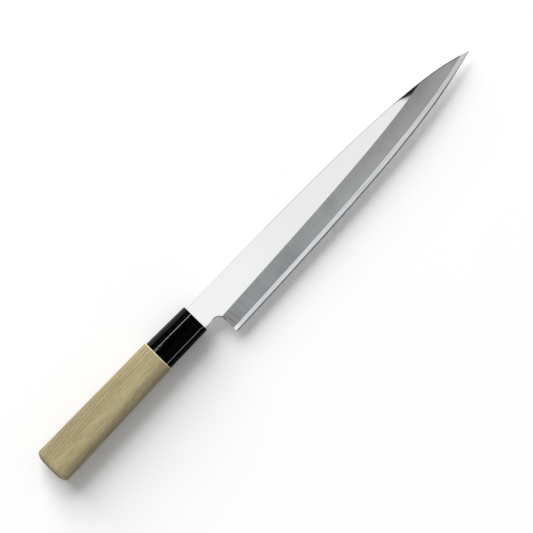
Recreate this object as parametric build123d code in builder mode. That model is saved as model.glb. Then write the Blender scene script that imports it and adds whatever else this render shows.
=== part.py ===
"""Slicing knife for raw fish: a single-bevel blade set in a plain wooden handle.

The blade lies level with its bevelled face up, its tip towards +X and its edge towards -Y.
The origin is below the middle of the knife, level with the lowest point of the handle.
All sizes are in millimetres.
"""

from build123d import *
from math import cos, radians, sin, sqrt
import os

# Lengths along the knife, from the tip back to the butt
blade_length = 240.0
neck_length = 13.0
collar_length = 35.0
grip_length = 103.5

# Blade: its outline is measured from the heel, and from the level line through the handle
heel_drop = 24.5
tip_drop = 4.8
heel_thickness = 3.6
tip_thickness = 1.7
heel_corner = 0.5
face_bevel = 0.35

# Curves that bound the blade, and the ridge line where its bevel begins. Their control points
# are shares of the blade's length and of its drop at the heel.
spine_start_rise = 9.9
ridge_start_drop = 10.35
edge_shares = ((0.583, -0.855), (0.8, -0.706))
spine_shares = ((0.692, 0.488), (0.888, 0.235))
ridge_shares = ((0.583, -0.196), (0.8, -0.086), (0.983, 0.494))

# Honed edge, hard steel layer and hollow back. The layer's shares are places along the blade's
# length with the share of its thickness there that is steel.
honed_width = 0.45
honed_height = 0.16
steel_layer_shares = ((0.0, 0.243), (0.635, 0.287), (1.0, 0.253))
hollow_rim = 2.0
hollow_wheel_radius = 270.0
hollow_shares = ((0.012, 0.15), (0.06, 0.8), (0.2, 1.0), (0.4, 1.0), (0.6, 1.0), (0.8, 1.0), (0.93, 0.6))

# Neck and tang
neck_drop = 7.75
neck_radius = 4.8
tang_length = 72.0
tang_height = 12.0
tang_end_height = 6.0
tang_end_thickness = 2.4
tang_end_round = 2.0

# Handle: how far it reaches above and below the level line, and how thick it is
butt_rise = 13.9
butt_drop = 13.1
butt_thickness = 21.0
joint_rise = 13.6
joint_drop = 10.5
collar_rear_rise = 12.8
collar_rear_drop = 10.1
collar_thickness = 18.0
collar_front_rise = 12.0
collar_front_drop = 9.6
butt_dome_length = 3.6
butt_dome_share = 0.5
butt_dome_turns = (0, 22.5, 45, 67.5, 90)
grip_front_bevel = 0.5
collar_front_bevel = 0.4
collar_wall = 1.4

# Fits
tenon_gap = 0.05
tang_gap = 0.3
slot_end_gap = 2.0
seal_depth = 3.0
seal_setback = 0.5
overrun = 4.0
grind_overrun = 0.5

# Section of the handle, as shares of its half height and half thickness. It runs from the spine
# side over the front face, where a soft ridge lies nearer the edge, and back along the rear side.
section_shares = (
    (1.0, -0.03), (0.72, 0.65), (0.26, 0.91), (-0.24, 1.0), (-0.68, 0.88),
    (-0.92, 0.54), (-1.0, 0.0), (-0.75, -0.68), (0.0, -1.0), (0.73, -0.7),
)

# Stations along the knife
overall_length = blade_length + neck_length + collar_length + grip_length
heel_x = overall_length / 2 - blade_length
collar_front_x = heel_x - neck_length
collar_rear_x = collar_front_x - collar_length
collar_middle_x = (collar_rear_x + collar_front_x) / 2
butt_x = collar_rear_x - grip_length
seat_x = collar_front_x - seal_depth
tang_end_x = seat_x - tang_length

# Heights of the handle's sections, and the places of their middles over the level line
butt_height = butt_rise + butt_drop
butt_middle = (butt_rise - butt_drop) / 2
joint_middle = (joint_rise - joint_drop) / 2
joint_scale = (joint_rise + joint_drop) / butt_height
collar_height = collar_rear_rise + collar_rear_drop

# Height of the level line over the box's middle, and of the blade's middle and back over the floor
line_y = (heel_drop - butt_rise) / 2
middle_z = butt_thickness / 2
neck_slope = (heel_thickness - tip_thickness) / blade_length
neck_thickness = heel_thickness + neck_slope * (neck_length + seal_depth)
back_z = middle_z - neck_thickness / 2


def thickness_at(x):
    """Thickness of the blade at a distance from its heel. It thins evenly to the tip."""
    return heel_thickness - neck_slope * x


def plane_through(start, end):
    """Plane across the blade through two points, each a distance from the heel and a height."""
    slope = (start.Y - end.Y) / (end.X - start.X)
    return Plane(
        origin=(heel_x + start.X, line_y, back_z + start.Y),
        x_dir=(1, 0, -slope),
        z_dir=(slope, 0, 1),
    )


def plane_in_blade(share, above=0):
    """Plane that splits the blade's thickness by a share, from its flat back to its face."""
    heel, tip = (Vector(x, share * thickness_at(x) + above) for x in (0, blade_length))
    return plane_through(heel, tip)


def station(x):
    """Plane across the knife, with its origin on the level line in the blade's middle."""
    return Plane(origin=(x, line_y, middle_z), x_dir=(0, 1, 0), z_dir=(1, 0, 0))


def handle_section(x, middle, height, thickness, inset=0, scale=1):
    """Section of the handle at a station, drawn in all round by the inset and then by the scale."""
    half_height = scale * (height / 2 - inset)
    half_thickness = scale * (thickness / 2 - inset)
    points = [(middle + across * half_height, up * half_thickness) for across, up in section_shares]
    with BuildSketch(station(x)) as section:
        with BuildLine():
            Spline(*points, periodic=True)
        make_face()
    return section.sketch


def edge_side(plane, points):
    """All that lies on the edge's side of a curve, in a plane along the blade."""
    far = blade_length + overrun
    low = -heel_drop - overrun
    with BuildSketch(plane) as ground_away:
        with BuildLine():
            curve = Bezier(*points)
            start, end = curve @ 0, curve @ 1
            Polyline(end, (far, end.Y), (far, low), (-overrun, low), (-overrun, start.Y), start)
        make_face()
    return ground_away.sketch


# Control points of the blade's curves, from the heel, or from inside the handle, to the tip
edge_handles, spine_handles, ridge_handles = (
    [Vector(along * blade_length, up * heel_drop) for along, up in shares]
    for shares in (edge_shares, spine_shares, ridge_shares)
)
tip = Vector(blade_length, -tip_drop)
edge_points = [Vector(0, -heel_drop), *edge_handles, tip]
ridge_points = [Vector(0, -ridge_start_drop), *ridge_handles]
spine_points = [Vector(-neck_length - seal_depth, spine_start_rise), *spine_handles, tip]

edge_curve = Bezier(*edge_points)
spine_curve = Bezier(*spine_points)


def crossing(curve, x):
    """Height over the level line at which a curve passes a distance from the heel."""
    return curve.find_intersection_points(Axis((x, 0, 0), (0, 1, 0)))[0].Y


def hollow_section(length_share, depth_share):
    """Section of the grinding wheel that hollows the back, leaving a flat rim on each side."""
    x = blade_length * length_share
    low = crossing(edge_curve, x) + hollow_rim
    half = (crossing(spine_curve, x) - hollow_rim - low) / 2
    depth = depth_share * half**2 / (2 * hollow_wheel_radius)
    radius = (half**2 + depth**2) / (2 * depth)
    reach = sqrt(radius**2 - (radius - depth - grind_overrun) ** 2)
    across = Plane(origin=(heel_x + x, line_y + low + half, back_z), x_dir=(0, 1, 0), z_dir=(1, 0, 0))
    with BuildSketch(across) as section:
        with BuildLine():
            arc = ThreePointArc((-reach, -grind_overrun), (0, depth), (reach, -grind_overrun))
            Line(arc @ 1, arc @ 0)
        make_face()
    return section.sketch


def tang_section(x, height, thickness):
    """Section of the tang, or of its slot, on the middle line of the neck."""
    with BuildSketch(station(x)) as section:
        with Locations(((spine_start_rise - neck_drop) / 2, 0)):
            Rectangle(height, thickness)
    return section.sketch


def collar_section(x, inset=0):
    """Section of the collar at a station. All its sections are alike, which keeps it a plain cone."""
    share = (x - collar_rear_x) / collar_length
    rise = collar_rear_rise + share * (collar_front_rise - collar_rear_rise)
    drop = collar_rear_drop + share * (collar_front_drop - collar_rear_drop)
    scale = (rise + drop) / collar_height
    return handle_section(x, (rise - drop) / 2, collar_height, collar_thickness, inset, scale)


# Blade blank: spine, neck and heel, level on its back and thinned from the heel to the tip
with BuildPart() as blade:
    with BuildSketch(plane_in_blade(0)):
        with BuildLine():
            low = -heel_drop - overrun
            spine = Bezier(*spine_points)
            neck = FilletPolyline(
                (-neck_length - seal_depth, -neck_drop),
                (0, -neck_drop),
                (0, -heel_drop + heel_corner),
                radius=neck_radius,
            )
            heel = (heel_corner, -heel_drop)
            Polyline(neck @ 1, heel, (heel_corner, low), (blade_length, low), spine @ 1)
            Line(spine @ 0, neck @ 0)
        make_face()
    extrude(amount=2 * heel_thickness)
    split(bisect_by=plane_in_blade(1), keep=Keep.BOTTOM)
    face_edges = faces().sort_by(Axis.Z)[-1].edges()
    spine_edge = face_edges.sort_by(Axis.Y)[-1]
    neck_edges = face_edges.sort_by(Axis.X)[1:4]
    chamfer([spine_edge, *neck_edges], face_bevel)

    # The honed edge and the wide bevel, ground from one side only
    honed_top = [p + (0, honed_width) for p in edge_points]
    honed_low = [p - (0, honed_width * grind_overrun / honed_height) for p in edge_points]
    bevel_over = [
        ridge + (ridge - edge) * (grind_overrun / (thickness_at(ridge.X) - honed_height))
        for ridge, edge in zip(ridge_points, honed_top)
    ]
    bevel_levels = [
        edge_side(plane_in_blade(0, -grind_overrun), honed_low),
        edge_side(plane_in_blade(0, honed_height), honed_top),
        edge_side(plane_in_blade(1, grind_overrun), bevel_over),
    ]
    loft(bevel_levels, ruled=True, mode=Mode.SUBTRACT)

# Hard steel layer: the whole back of the blade from the heel on, and all of its edge
seam_points = [
    Vector(along * blade_length, share * thickness_at(along * blade_length))
    for along, share in steel_layer_shares
]
with BuildPart() as edge_steel:
    add(blade.part)
    split(bisect_by=plane_through(*seam_points[:2]), keep=Keep.BOTTOM)
    split(bisect_by=plane_through(*seam_points[1:]), keep=Keep.BOTTOM)
    split(bisect_by=station(heel_x), keep=Keep.TOP)
    steel_blank = edge_steel.part
    loft([hollow_section(*shares) for shares in hollow_shares], mode=Mode.SUBTRACT)
edge_steel.part.label = "edge_steel"

# Soft iron body: the face and the bevel above the steel, the neck, and the tang in the handle
with BuildPart() as blade_body:
    add(blade.part)
    add(steel_blank, mode=Mode.SUBTRACT)
    tang = [
        tang_section(seat_x, tang_height, neck_thickness),
        tang_section(tang_end_x, tang_end_height, tang_end_thickness),
    ]
    loft(tang, ruled=True)
    fillet(faces().sort_by(Axis.X)[0].edges().filter_by(Axis.Z), tang_end_round)
blade_body.part.label = "blade_body"

# Bore of the collar, which the tenon and the seal fill
with BuildPart() as bore:
    loft(
        [collar_section(x, collar_wall) for x in (collar_rear_x, collar_middle_x, collar_front_x)],
        ruled=True,
    )

# Collar: black tube that keeps the wood from splitting where the tang enters it
with BuildPart() as ferrule:
    outer = [
        collar_section(collar_rear_x),
        collar_section(collar_middle_x),
        collar_section(collar_front_x - collar_front_bevel),
        collar_section(collar_front_x, collar_front_bevel),
    ]
    loft(outer, ruled=True)
    add(bore.part, mode=Mode.SUBTRACT)
ferrule.part.label = "ferrule"

# Seal: hardened resin round the neck in the mouth of the collar
with BuildPart() as tang_seal:
    add(bore.part)
    split(bisect_by=station(seat_x), keep=Keep.TOP)
    split(bisect_by=station(collar_front_x - seal_setback), keep=Keep.BOTTOM)
    add(blade_body.part, mode=Mode.SUBTRACT)
tang_seal.part.label = "tang_seal"

# Wooden handle: grip with a domed butt, and a tenon that runs through the collar to the seal
with BuildPart() as handle:
    dome_x = butt_x + butt_dome_length
    shoulder_x = collar_rear_x - grip_front_bevel
    grip_middles = (butt_middle, (butt_middle + joint_middle) / 2, joint_middle, joint_middle)
    grip_scales = (1, (1 + joint_scale) / 2, joint_scale, joint_scale)
    grip_insets = (0, 0, 0, grip_front_bevel)
    grip_stations = (dome_x, (dome_x + shoulder_x) / 2, shoulder_x, collar_rear_x)
    grip = [
        handle_section(x, middle, butt_height, butt_thickness, inset, scale)
        for x, middle, inset, scale in zip(grip_stations, grip_middles, grip_insets, grip_scales)
    ]
    loft(grip, ruled=True)
    dome = []
    for turn in butt_dome_turns:
        x = dome_x - butt_dome_length * cos(radians(turn))
        scale = 1 - butt_dome_share * (1 - sin(radians(turn)))
        dome.append(handle_section(x, butt_middle, butt_height, butt_thickness, scale=scale))
    loft(dome)
    tenon_inset = collar_wall + tenon_gap
    loft(
        [collar_section(x, tenon_inset) for x in (collar_rear_x, collar_middle_x, seat_x)],
        ruled=True,
    )
    slot_end_x = tang_end_x - slot_end_gap
    slot = [
        tang_section(seat_x, tang_height + 2 * tang_gap, neck_thickness + 2 * tang_gap),
        tang_section(slot_end_x, tang_end_height + 2 * tang_gap, tang_end_thickness + 2 * tang_gap),
    ]
    loft(slot, ruled=True, mode=Mode.SUBTRACT)
handle.part.label = "handle"

os.makedirs("parts", exist_ok=True)
export_step(blade_body.part, "parts/blade_body.step")
export_step(edge_steel.part, "parts/edge_steel.step")
export_step(ferrule.part, "parts/ferrule.step")
export_step(tang_seal.part, "parts/tang_seal.step")
export_step(handle.part, "parts/handle.step")
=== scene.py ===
"""Looks of a slicing knife with a laminated single-bevel blade and a plain wooden handle.

Lengths and places are in metres in the CAD's frame: X to the tip, Y to the spine, Z out of the
bevelled face.
"""

import bmesh
import bpy
import math
from mathutils import Matrix, Vector

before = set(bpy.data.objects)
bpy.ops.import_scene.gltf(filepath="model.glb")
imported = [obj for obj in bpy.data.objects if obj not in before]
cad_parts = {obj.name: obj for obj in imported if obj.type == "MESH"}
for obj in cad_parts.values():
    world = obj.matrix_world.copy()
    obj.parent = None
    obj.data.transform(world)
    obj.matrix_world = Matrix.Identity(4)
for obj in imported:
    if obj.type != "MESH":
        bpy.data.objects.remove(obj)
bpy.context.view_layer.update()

# Soft iron body of the blade.
# It is forged in one piece with its neck and tang. Its flat is polished to a mirror, and its wide
# bevel is left grey and satin by the stone.


def add_node(tree, kind, wires=None, **settings):
    """Adds a node, sets its properties, and fills its inputs with values or outputs."""
    made = tree.nodes.new("ShaderNode" + kind)
    for name, value in settings.items():
        setattr(made, name, value)
    for name, value in (wires or {}).items():
        if isinstance(value, bpy.types.NodeSocket):
            tree.links.new(value, made.inputs[name])
        else:
            made.inputs[name].default_value = value
    return made


def math_node(tree, operation, first, second=0.0, third=0.0):
    """The outcome of one operation on two or three numbers or outputs."""
    return add_node(tree, "Math", {0: first, 1: second, 2: third}, operation=operation).outputs[0]


def minus(tree, first, second):
    """The first number less the second."""
    return math_node(tree, "SUBTRACT", first, second)


def product(tree, first, *others):
    """Numbers or shares multiplied together."""
    for other in others:
        first = math_node(tree, "MULTIPLY", first, other)
    return first


def ramp(tree, value, low, high, start=0.0, end=1.0):
    """Turns a value between low and high smoothly into one between start and end."""
    wires = {"Value": value, "From Min": low, "From Max": high, "To Min": start, "To Max": end}
    return add_node(tree, "MapRange", wires, interpolation_type="SMOOTHSTEP").outputs["Result"]


def between(tree, share, first, second):
    """Mixes two numbers by a share."""
    return add_node(tree, "Mix", {0: share, 2: first, 3: second}, data_type="FLOAT").outputs[0]


def blend(tree, share, first, second, how="MIX"):
    """Mixes two colours by a share."""
    wires = {0: share, 6: first, 7: second}
    return add_node(tree, "Mix", wires, data_type="RGBA", blend_type=how).outputs[2]


def grey(level, red=1.0, green=1.0, blue=1.0):
    """A colour of one level, tinted by its three shares."""
    return (level * red, level * green, level * blue, 1.0)


def shade(tree, share, tone, level):
    """Darkens or brightens a tone by a level, as far as the share says."""
    return blend(tree, share, tone, grey(level), "MULTIPLY")


def new_finish(name, **sockets):
    """A material, with its node tree, its shader, and the piece's own places and slopes."""
    made = bpy.data.materials.new(name)
    made.use_nodes = True
    tree = made.node_tree
    shader = tree.nodes["Principled BSDF"]
    for socket, value in sockets.items():
        shader.inputs[socket.replace("_", " ")].default_value = value
    place = add_node(tree, "TexCoord").outputs["Object"]
    along = add_node(tree, "SeparateXYZ", {0: place}).outputs
    normal = add_node(tree, "NewGeometry").outputs["Normal"]
    slope = add_node(tree, "SeparateXYZ", {0: normal}).outputs
    return made, tree, shader, place, along, slope


def put_on(node, finish):
    """Gives a piece of the frame its finish."""
    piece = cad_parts[node]
    piece.data.materials.clear()
    piece.data.materials.append(finish)
    for face in piece.data.polygons:
        face.material_index = 0


# Marks that a stone or a wheel leaves: fine lines in one direction, over slow clouds
grinding = bpy.data.node_groups.new("grinding_marks", "ShaderNodeTree")
for name in ("Position", "Stretch"):
    grinding.interface.new_socket(name, in_out="INPUT", socket_type="NodeSocketVector")
for name in ("Lines", "Clouds"):
    grinding.interface.new_socket(name, in_out="OUTPUT", socket_type="NodeSocketFloat")
given = grinding.nodes.new("NodeGroupInput").outputs
drawn = add_node(grinding, "VectorMath", {0: given["Position"], 1: given["Stretch"]},
                 operation="MULTIPLY").outputs[0]
lines = add_node(grinding, "TexNoise",
                 {"Vector": drawn, "Scale": 1.0, "Detail": 4.0, "Roughness": 0.65}).outputs[0]
clouds = add_node(grinding, "TexNoise",
                  {"Vector": given["Position"], "Scale": 55.0, "Detail": 3.0}).outputs[0]
result = grinding.nodes.new("NodeGroupOutput").inputs
grinding.links.new(lines, result["Lines"])
grinding.links.new(clouds, result["Clouds"])


def marks(tree, place, stretch):
    """Grinding marks on a piece, drawn out by the stretch along each axis."""
    made = add_node(tree, "Group", node_tree=grinding)
    tree.links.new(place, made.inputs["Position"])
    made.inputs["Stretch"].default_value = stretch
    return made.outputs


iron, tree, shader, place, along, slope = new_finish("ground_iron", Metallic=1.0)
bevel = ramp(tree, slope["Y"], -0.03, -0.09)
side = ramp(tree, slope["Z"], 0.9, 0.6)
flat_lines = marks(tree, place, (25.0, 1400.0, 1400.0))
cross_lines = marks(tree, place, (600.0, 60.0, 200.0))
flat_tint, side_tint = (0.985, 1.0, 0.99), (0.98, 1.0, 1.0)
flat_tone = blend(tree, flat_lines["Lines"], grey(0.875, *flat_tint), grey(0.915, *flat_tint))
# The stone's cross lines are bluish near the heel and neutral towards the tip
cold = (0.96, 1.0, 1.015)
neutral = ramp(tree, along["X"], 0.02, 0.14)
stone_dark = blend(tree, neutral, grey(0.325, *cold), grey(0.324))
stone_light = blend(tree, neutral, grey(0.373, *cold), grey(0.376))
stone_tone = blend(tree, ramp(tree, cross_lines["Lines"], 0.3, 0.7), stone_dark, stone_light)
stone_tone = shade(tree, ramp(tree, cross_lines["Clouds"], 0.35, 0.68), stone_tone, 0.88)
# The stone cuts a little brighter or darker in turn along the bevel
stone_turns = ((0.012, 0.032, 1.09), (0.060, 0.100, 0.90), (0.105, 0.135, 0.92),
               (0.150, 0.165, 1.06), (0.176, 0.188, 0.80))
for start, end, level in stone_turns:
    stone_tone = shade(tree, ramp(tree, along["X"], start, end), stone_tone, level)
# The weld falls in two planes from the heel to the tip
heel_x, weld_at_heel, bend_from_heel = -0.04425, 0.0095116, 0.1524
first_fall, further_fall = 0.0012325, 0.0017005
from_heel = minus(tree, along["X"], heel_x)
past_bend = math_node(tree, "MAXIMUM", minus(tree, from_heel, bend_from_heel), 0.0)
fall = math_node(tree, "ADD", product(tree, from_heel, first_fall),
                 product(tree, past_bend, further_fall))
over_weld = math_node(tree, "ADD", minus(tree, along["Z"], weld_at_heel), fall)
# Near the heel the bevel is darker and tinted, with two curved dark cross lines. Each has its way
# from the heel, half its width and its strength.
heel_tint, mark_bend = (1.0, 0.985, 1.03), 210.0
cross_marks = ((0.0031, 0.00075, 1.0), (0.0069, 0.00110, 0.55))
stone_tone = blend(tree, ramp(tree, from_heel, 0.0042, 0.0030), stone_tone,
                   grey(0.315, *heel_tint))
bent = product(tree, math_node(tree, "POWER", over_weld, 2.0), mark_bend)
for way, half_width, strength in cross_marks:
    away = minus(tree, math_node(tree, "ADD", from_heel, bent), way)
    away = math_node(tree, "ABSOLUTE", away)
    stone_tone = blend(tree, ramp(tree, away, half_width, 0.0, 0.0, strength), stone_tone,
                       grey(0.19, *heel_tint))
# The weld is a dark line, with a paler glow over it
weld_dark, weld_pale, glow_share = grey(0.26), grey(0.47), 0.40
stone_tone = blend(tree, ramp(tree, over_weld, 0.00012, 0.0), stone_tone, weld_dark)
glow = product(tree, ramp(tree, over_weld, 0.0014, 0.0002, 0.0, glow_share),
               ramp(tree, along["X"], 0.015, 0.055))
stone_tone = blend(tree, glow, stone_tone, weld_pale)
tone = blend(tree, bevel, flat_tone, stone_tone)
# The side of the neck and the spine mirror less than the flat, and least towards the tip: painted
# shade for their dark outline
shaded_side_tone = blend(tree, ramp(tree, along["X"], 0.0, 0.04), grey(0.60, *side_tint),
                  grey(0.20, *side_tint))
tone = blend(tree, side, tone, shaded_side_tone)
# The inner corner of the neck is filed round, and a dark band is painted along its curve as
# painted shade
corner, fillet_shade_share, fillet_shade_dark = (-0.04905, -0.00724, 0.0), 0.9, grey(0.10)
seen_flat = add_node(tree, "CombineXYZ", {0: along["X"], 1: along["Y"]}).outputs[0]
from_corner = add_node(tree, "VectorMath", {0: seen_flat, 1: corner},
                       operation="DISTANCE").outputs["Value"]
painted_fillet_shade = product(tree, ramp(tree, from_corner, 0.0057, 0.0052),
                ramp(tree, along["X"], -0.0535, -0.0480), fillet_shade_share)
tone = blend(tree, painted_fillet_shade, tone, fillet_shade_dark)
# Along the tip the spine's faces and a narrow strip of the flat below them are painted near black,
# as a painted dark reflection. Its line there is a curve in powers of the way from spine_middle,
# the highest first.
spine_middle, spine_powers = 0.16, (-197.3, -21.732, -1.7481, -0.1425, 0.0091496)
spine_reflection_dark = grey(0.07)
spine_y = 0.0
for part in spine_powers:
    spine_y = math_node(tree, "MULTIPLY_ADD", spine_y, minus(tree, along["X"], spine_middle), part)
below_spine = minus(tree, spine_y, along["Y"])
painted_dark_spine = math_node(tree, "MAXIMUM", side, ramp(tree, below_spine, 0.00075, 0.00035))
painted_dark_spine = product(tree, painted_dark_spine, ramp(tree, along["X"], 0.134, 0.150))
tone = blend(tree, painted_dark_spine, tone, spine_reflection_dark)
tree.links.new(tone, shader.inputs["Base Color"])
polish = ramp(tree, flat_lines["Lines"], 0.3, 0.8, 0.045, 0.075)
satin = ramp(tree, cross_lines["Lines"], 0.3, 0.7, 0.30, 0.42)
tree.links.new(between(tree, bevel, polish, satin), shader.inputs["Roughness"])
# Towards the tip the polished flat rolls over to the spine. The roll begins at a curved front,
# which runs back along the spine.
roll_starts, spine_bevel, steepest = 0.1412, 0.0004, 0.14
front_bend, front_limit = 0.0000018, 0.0002
lower_down = math_node(tree, "MAXIMUM", minus(tree, below_spine, spine_bevel), 0.0)
front = math_node(tree, "DIVIDE", front_bend, math_node(tree, "ADD", lower_down, front_limit))
past_front = minus(tree, along["X"], minus(tree, roll_starts, front))
rolled = product(tree, ramp(tree, past_front, -0.0040, 0.0095, 0.0, steepest),
                 ramp(tree, lower_down, 0.0006, 0.0026, 1.0, 0.62),
                 minus(tree, 1.0, bevel), minus(tree, 1.0, side))
turned = add_node(tree, "CombineXYZ", {1: rolled}).outputs[0]
normal = add_node(tree, "NewGeometry").outputs["Normal"]
turned = add_node(tree, "VectorMath", {0: normal, 1: turned}, operation="ADD").outputs[0]
turned = add_node(tree, "VectorMath", {0: turned}, operation="NORMALIZE").outputs[0]
tree.links.new(turned, shader.inputs["Normal"])
put_on("blade_body", iron)

# Hard steel layer.
# It is forge welded under the body and takes the edge. Stoned finer than the iron, it shows
# as a bright band along the edge, and its hollow back is polished lengthwise.
steel, tree, shader, place, along, slope = new_finish("honed_steel", Metallic=1.0)
long_lines = marks(tree, place, (40.0, 1600.0, 3000.0))
from_heel = minus(tree, along["X"], heel_x)
bluish, yellowish, back_tint = (0.97, 1.0, 1.035), (1.025, 1.0, 0.97), (0.99, 1.0, 1.0)
band_tone = blend(tree, ramp(tree, long_lines["Lines"], 0.3, 0.7), grey(0.70, *bluish),
                  grey(0.86, *bluish))
# The band is brightest at the heel. It dulls in two steps, and its blue fades in the second.
band_tone = shade(tree, ramp(tree, along["X"], 0.02, 0.08), band_tone, 0.88)
band_tone = blend(tree, ramp(tree, along["X"], 0.12, 0.18), band_tone,
                  grey(0.88, *yellowish), "MULTIPLY")
band_tone = blend(tree, ramp(tree, from_heel, 0.006, 0.001), band_tone, grey(1.0))
# Its lowest part is painted dark, except at the tip, and the honed edge near black, paler at the
# tip: painted shade for the dark line along the edge
edge_shade_share, edge_shade_dark = 0.8, grey(0.16)
fading = ramp(tree, along["X"], 0.165, 0.190)
painted_edge_shade = product(tree, ramp(tree, along["Z"], 0.00888, 0.00882), minus(tree, 1.0, fading),
               edge_shade_share)
band_tone = blend(tree, painted_edge_shade, band_tone, edge_shade_dark)
honed = ramp(tree, slope["Y"], -0.27, -0.31)
tone = blend(tree, honed, band_tone, blend(tree, fading, grey(0.02), grey(0.35)))
back = ramp(tree, slope["Z"], 0.0, -0.5)
tone = blend(tree, back, tone, grey(0.80, *back_tint))
tree.links.new(tone, shader.inputs["Base Color"])
tree.links.new(ramp(tree, long_lines["Lines"], 0.3, 0.7, 0.14, 0.24), shader.inputs["Roughness"])
put_on("edge_steel", steel)

# Wooden handle.
# One block of pale magnolia, shaped with a plane, sanded and left bare. Its grain runs along
# it, and the shoulder against the collar is broken by a narrow bevel.


def grain(tree, place, stretch, detail, roughness=0.5, turn=0.0):
    """Noise drawn out along the wood's grain."""
    wires = {"Vector": place, "Rotation": (0.0, 0.0, turn), "Scale": stretch}
    laid = add_node(tree, "Mapping", wires).outputs[0]
    wires = {"Vector": laid, "Scale": 1.0, "Detail": detail, "Roughness": roughness}
    return add_node(tree, "TexNoise", wires).outputs[0]


wood, tree, shader, place, along, slope = new_finish("bare_wood", Specular_IOR_Level=0.2)
pale, deep = (0.446, 0.379, 0.236, 1.0), (0.395, 0.331, 0.193, 1.0)
ring_brown, fibre_brown = (0.315, 0.252, 0.135, 1.0), (0.305, 0.245, 0.135, 1.0)
pore_brown, end_brown = (0.285, 0.228, 0.122, 1.0), (0.11, 0.078, 0.038, 1.0)
fresh_cut = (0.80, 0.74, 0.48, 1.0)
# The rings' centre lies far out on the edge's side, and the grain rises to the spine
grip_middle, centre_y, centre_z = -0.14, -0.03, 0.010
grain_slope, grain_bend = 0.055, -0.35
ring_stretch, ring_start = 0.07, 0.37
from_middle = minus(tree, along["X"], grip_middle)
rise = product(tree, from_middle,
               math_node(tree, "MULTIPLY_ADD", from_middle, grain_bend, grain_slope))
ring_y = minus(tree, minus(tree, along["Y"], rise), centre_y)
ring_z = minus(tree, along["Z"], centre_z)
drawn_out = math_node(tree, "MULTIPLY_ADD", along["X"], ring_stretch, ring_start)
ring_place = add_node(tree, "CombineXYZ", {0: drawn_out, 1: ring_y, 2: ring_z}).outputs[0]
rings = add_node(tree, "TexWave", {"Vector": ring_place, "Scale": 168.0, "Distortion": 2.6,
                                   "Detail": 3.0, "Detail Scale": 0.425,
                                   "Detail Roughness": 0.5, "Phase Offset": 2.4},
                 wave_type="RINGS", rings_direction="X", wave_profile="SIN").outputs["Fac"]
fibre = grain(tree, place, (50.0, 640.0, 640.0), 4.0, 0.75)
clouds = grain(tree, place, (20.0, 150.0, 150.0), 4.0, 0.6, -0.06)
pores = grain(tree, place, (240.0, 620.0, 620.0), 2.0)
tone = blend(tree, ramp(tree, clouds, 0.3, 0.7), pale, deep)
# The rings show best towards the spine, which also paints shade on that side
ring_gain, ring_least, fibre_strength, pore_strength = 0.90, 0.06, 0.62, 0.40
to_spine_side = ramp(tree, along["Y"], 0.0045, 0.0125)
ring_depth = math_node(tree, "MULTIPLY_ADD", to_spine_side, ring_gain, ring_least)
ring_lines = product(tree, ramp(tree, rings, 0.5, 1.0), ring_depth)
tone = blend(tree, ring_lines, tone, ring_brown)
tone = blend(tree, ramp(tree, fibre, 0.40, 0.66, 0.0, fibre_strength), tone, fibre_brown)
tone = blend(tree, ramp(tree, pores, 0.46, 0.66, 0.0, pore_strength), tone, pore_brown)
# The spine's side of the wood is painted darker, as painted shade
painted_spine_shade = blend(tree, ramp(tree, along["X"], -0.19, -0.10), grey(0.79), grey(0.85))
tone = blend(tree, ramp(tree, along["Y"], 0.0085, 0.0165), tone, painted_spine_shade, "MULTIPLY")
# Painted shade below the spine's side, painted light lower down, one late ring of the log that
# climbs to the collar, and painted shade along the rim on the edge's side
shade_below_spine = product(tree, ramp(tree, along["Y"], 0.0060, 0.0092),
                 ramp(tree, along["X"], -0.10, -0.15))
tone = shade(tree, shade_below_spine, tone, 0.88)
# Painted light: the wood is paler lower down, in two steps
tone = shade(tree, ramp(tree, along["Y"], 0.0065, 0.0015), tone, 1.06)
tone = shade(tree, ramp(tree, along["Y"], 0.0010, -0.0020), tone, 1.07)
late_slope, late_middle, rim_slope = 0.085, -0.0018, -0.028
late_y = math_node(tree, "MULTIPLY_ADD", from_middle, late_slope, late_middle)
from_late = math_node(tree, "ABSOLUTE", minus(tree, along["Y"], late_y))
late = product(tree, ramp(tree, from_late, 0.0030, 0.0004),
               ramp(tree, from_middle, -0.018, 0.008))
tone = shade(tree, late, tone, 0.86)
rim = math_node(tree, "MULTIPLY_ADD", from_middle, rim_slope, along["Y"])
tone = shade(tree, ramp(tree, rim, -0.0026, -0.0048), tone, 0.74)
# Where the wood turns away below, it is painted darker still, as painted shade
tone = shade(tree, ramp(tree, slope["Y"], -0.80, -0.97), tone, 0.77)
# The bevel of the shoulder shows fresh wood, and the butt shows dark end grain
tone = blend(tree, ramp(tree, along["X"], -0.0929, -0.0926), tone, fresh_cut)
tone = blend(tree, ramp(tree, slope["X"], -0.76, -0.95), tone, end_brown)
tree.links.new(tone, shader.inputs["Base Color"])
tree.links.new(ramp(tree, fibre, 0.2, 0.8, 0.52, 0.7), shader.inputs["Roughness"])
bump = add_node(tree, "Bump", {"Strength": 0.35, "Distance": 0.00005, "Height": fibre})
tree.links.new(bump.outputs[0], shader.inputs["Normal"])
put_on("handle", wood)

# Collar.
# A black tube, pushed and glued on the wood's tenon so that the wood can't split where the
# tang enters it. It is polished to a mirror.
black, tree, shader, place, _, slope = new_finish("polished_black", IOR=1.07)
swirl = add_node(tree, "TexNoise", {"Vector": place, "Scale": 220.0, "Detail": 3.0}).outputs[0]
tone = blend(tree, ramp(tree, swirl, 0.3, 0.7), grey(0.0004), grey(0.0012, 1.05, 1.0, 1.0))
tree.links.new(tone, shader.inputs["Base Color"])
tree.links.new(ramp(tree, swirl, 0.3, 0.7, 0.03, 0.055), shader.inputs["Roughness"])
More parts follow.
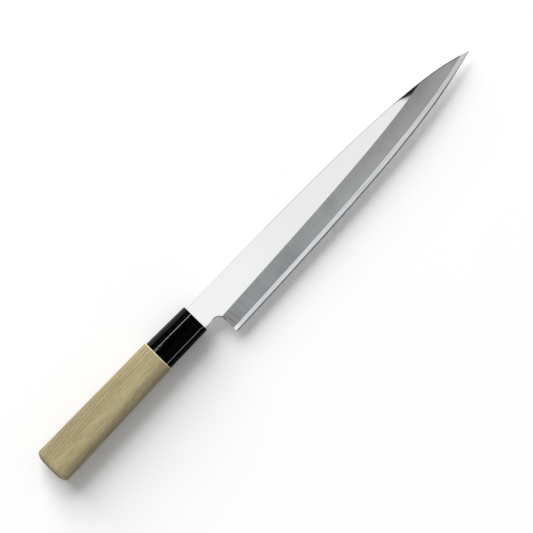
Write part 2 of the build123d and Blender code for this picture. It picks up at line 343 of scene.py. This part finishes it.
# The spine's side keeps the wax that it was polished with
wax_weight = 0.42
shader.inputs["Coat Roughness"].default_value = 0.06
shader.inputs["Coat Tint"].default_value = (0.86, 0.9, 1.0, 1.0)
tree.links.new(ramp(tree, slope["Y"], 0.55, 0.66, 0.0, wax_weight), shader.inputs["Coat Weight"])
put_on("ferrule", black)

# Seal.
# Resin, poured into the mouth of the collar round the neck so that no water reaches the tang.
# It is dull and dark when hard.
resin, tree, shader, place = new_finish("hard_resin", Roughness=0.5)[:4]
pits = add_node(tree, "TexNoise", {"Vector": place, "Scale": 900.0, "Detail": 4.0}).outputs[0]
tone = blend(tree, pits, grey(0.02), grey(0.05, 1.0, 0.9, 0.8))
tree.links.new(tone, shader.inputs["Base Color"])
bump = add_node(tree, "Bump", {"Strength": 0.4, "Distance": 0.0002, "Height": pits})
tree.links.new(bump.outputs[0], shader.inputs["Normal"])
put_on("tang_seal", resin)

# The table that the knife lies on.
# A sheet of white paper, level with the lowest point of the handle. The camera meets it as
# pure white, and the knife gets no more light from it for that.
sheet = bmesh.new()
bmesh.ops.create_grid(sheet, x_segments=1, y_segments=1, size=8.0)
sheet_mesh = bpy.data.meshes.new("table")
sheet.to_mesh(sheet_mesh)
sheet.free()
table = bpy.data.objects.new("table", sheet_mesh)
bpy.context.scene.collection.objects.link(table)
paper, tree, shader = new_finish("white_paper", Roughness=0.9, Specular_IOR_Level=0.0)[:3]
met = add_node(tree, "LightPath").outputs["Is Camera Ray"]
tree.links.new(blend(tree, met, grey(0.97), grey(1.0)), shader.inputs["Base Color"])
table.data.materials.append(paper)

# Light: the studio's walls and ceiling.
# They fill the shadows softly. Polished metal shows them as a white ceiling, with a dark gap
# in it on the side of the spine.
world = bpy.data.worlds.new("studio")
bpy.context.scene.world = world
world.use_nodes = True
world.cycles.sampling_method = "NONE"
tree = world.node_tree
background = tree.nodes["Background"]
sky = add_node(tree, "SeparateXYZ", {0: add_node(tree, "TexCoord").outputs["Generated"]}).outputs
horizon, gap_middle, gap_darkness, fill_light = 0.02, 0.04, 0.97, 0.38
height = math_node(tree, "MAXIMUM", sky["Z"], horizon)
to_tip = math_node(tree, "DIVIDE", sky["X"], height)
to_spine = math_node(tree, "DIVIDE", sky["Y"], height)
ceiling = product(tree, ramp(tree, to_tip, 0.008, 0.026, 1.0, 0.925),
                  ramp(tree, to_spine, -0.12, -0.5, 1.0, 0.86))
off_middle = math_node(tree, "ABSOLUTE", minus(tree, to_tip, gap_middle))
gap = product(tree, ramp(tree, to_spine, 0.045, 0.21), ramp(tree, to_spine, 0.55, 0.42),
              ramp(tree, off_middle, 0.24, 0.16), ramp(tree, sky["Z"], 0.3, 0.6), gap_darkness)
ceiling = product(tree, ceiling, minus(tree, 1.0, gap))
ray = add_node(tree, "LightPath").outputs
mirrored = math_node(tree, "MAXIMUM", ray["Is Glossy Ray"], ray["Is Transmission Ray"])
level = between(tree, mirrored, fill_light, ceiling)
level = between(tree, ray["Is Camera Ray"], level, 1.0)
tree.links.new(level, background.inputs["Color"])

# Light: lamps.
# A large soft lamp on the spine's side makes the light and the shadow. Three narrow lamps,
# which shine on the collar alone, draw the two lines and the short glint on its polish.


def lamp(name, bearing, lean, distance, length, width, radiance, seen_in):
    """An area lamp turned to the knife: bearing round from the tip, lean from overhead."""
    data = bpy.data.lights.new(name, "AREA")
    data.shape = "RECTANGLE"
    data.size, data.size_y = length, width
    data.energy = radiance * math.pi * length * width
    made = bpy.data.objects.new(name, data)
    bpy.context.scene.collection.objects.link(made)
    side_on, tip_on = math.sin(math.radians(lean)), math.cos(math.radians(lean))
    bearing = math.radians(bearing)
    out = Vector((side_on * math.cos(bearing), side_on * math.sin(bearing), tip_on))
    across = Vector((0.0, 0.0, 1.0)).cross(out).normalized()
    facing = Matrix((across, out.cross(across), out)).transposed().to_4x4()
    made.matrix_world = Matrix.Translation(out * distance) @ facing
    made.visible_diffuse = seen_in == "diffuse"
    made.visible_glossy = seen_in == "glossy"
    made.visible_camera = False
    return made


lamp("window", bearing=72.0, lean=58.0, distance=24.0, length=21.0, width=21.0, radiance=6.0,
     seen_in="diffuse")
cool_white, strip_distance = (0.86, 0.93, 1.0), 0.8
on_collar = bpy.data.collections.new("on_collar")
on_collar.objects.link(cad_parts["ferrule"])
for name, bearing, lean, length, width, radiance in (
        ("upper_strip", 90.0, 37.1, 0.6, 0.030, 345.0),
        ("rear_glint", 103.0, 34.4, 0.024, 0.06, 410.0),
        ("lower_strip", -90.0, 58.5, 0.6, 0.070, 280.0)):
    strip = lamp(name, bearing, lean, strip_distance, length, width, radiance, "glossy")
    strip.data.color = cool_white
    strip.light_linking.receiver_collection = on_collar

# Camera.
# It looks straight down on the knife from far above, square to the table, with the tip at the
# upper right.
camera_data = bpy.data.cameras.new("overhead")
camera = bpy.data.objects.new("overhead", camera_data)
bpy.context.scene.collection.objects.link(camera)
distance, turn, shown_width = 4.0, math.radians(45.7), 0.3528
knife_level, off_centre = 0.0105, -0.00313
camera.location = (0.0, off_centre, knife_level + distance)
camera.rotation_euler = (0.0, 0.0, -turn)
camera_data.sensor_width = 36.0
camera_data.lens = camera_data.sensor_width * distance / shown_width
camera_data.clip_start, camera_data.clip_end = 0.01, 50.0
bpy.context.scene.camera = camera
bpy.context.scene.view_settings.view_transform = "Standard"
